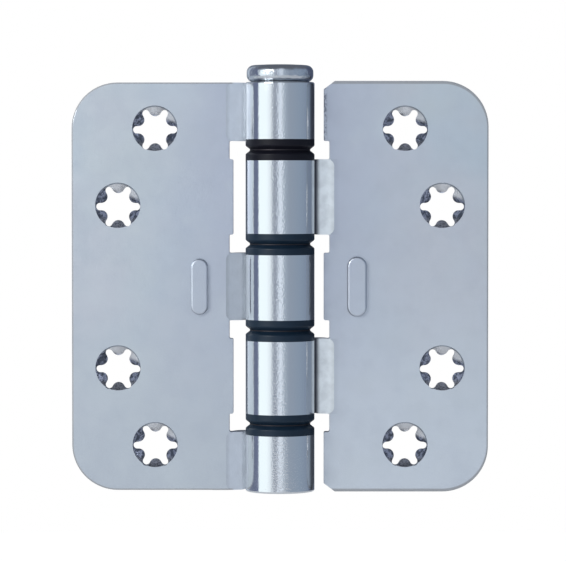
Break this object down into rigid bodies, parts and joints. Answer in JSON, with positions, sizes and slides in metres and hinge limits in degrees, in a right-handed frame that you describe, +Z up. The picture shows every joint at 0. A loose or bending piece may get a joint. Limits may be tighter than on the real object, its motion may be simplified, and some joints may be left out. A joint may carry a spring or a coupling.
{
  "type": "butt hinge",
  "caption": "Steel butt hinge with rounded corners, star-shaped countersunk screw holes, black flanged bushes between its knuckles and a button-headed pin.",
  "frame": {"origin": "on the pin's axis, at the level of the left leaf's bottom edge", "axes": "+Z up the pin towards its head, +X towards the right leaf with the hinge open flat, -Y the way the screw seats face"},
  "size_m": [0.0908, 0.015, 0.0931],
  "materials": {
    "plated_leaf": "satin blue-white zinc plating",
    "pin_steel": "bright zinc plating",
    "washer_steel": "ground steel",
    "bush_plastic": "moulded black with a slight sheen"
  },
  "bodies": {
    "left_side": {"left_leaf": "plated_leaf", "hinge_pin": "pin_steel", "bottom_plug": "pin_steel", "joint1_upper_bush": "bush_plastic", "joint1_washer": "washer_steel", "joint2_lower_bush": "bush_plastic", "joint2_washer": "washer_steel", "joint3_upper_bush": "bush_plastic", "joint3_washer": "washer_steel", "joint4_lower_bush": "bush_plastic", "joint4_washer": "washer_steel"},
    "right_side": {"right_leaf": "plated_leaf", "joint1_lower_bush": "bush_plastic", "joint2_upper_bush": "bush_plastic", "joint3_lower_bush": "bush_plastic", "joint4_upper_bush": "bush_plastic"}
  },
  "joints": [
    {"name": "leaf_swing", "type": "hinge", "parent": "left_side", "child": "right_side", "pos_m": [0, 0, 0.0445], "axis": [0, 0, 1], "range_deg": [-180, 107]}
  ]
}
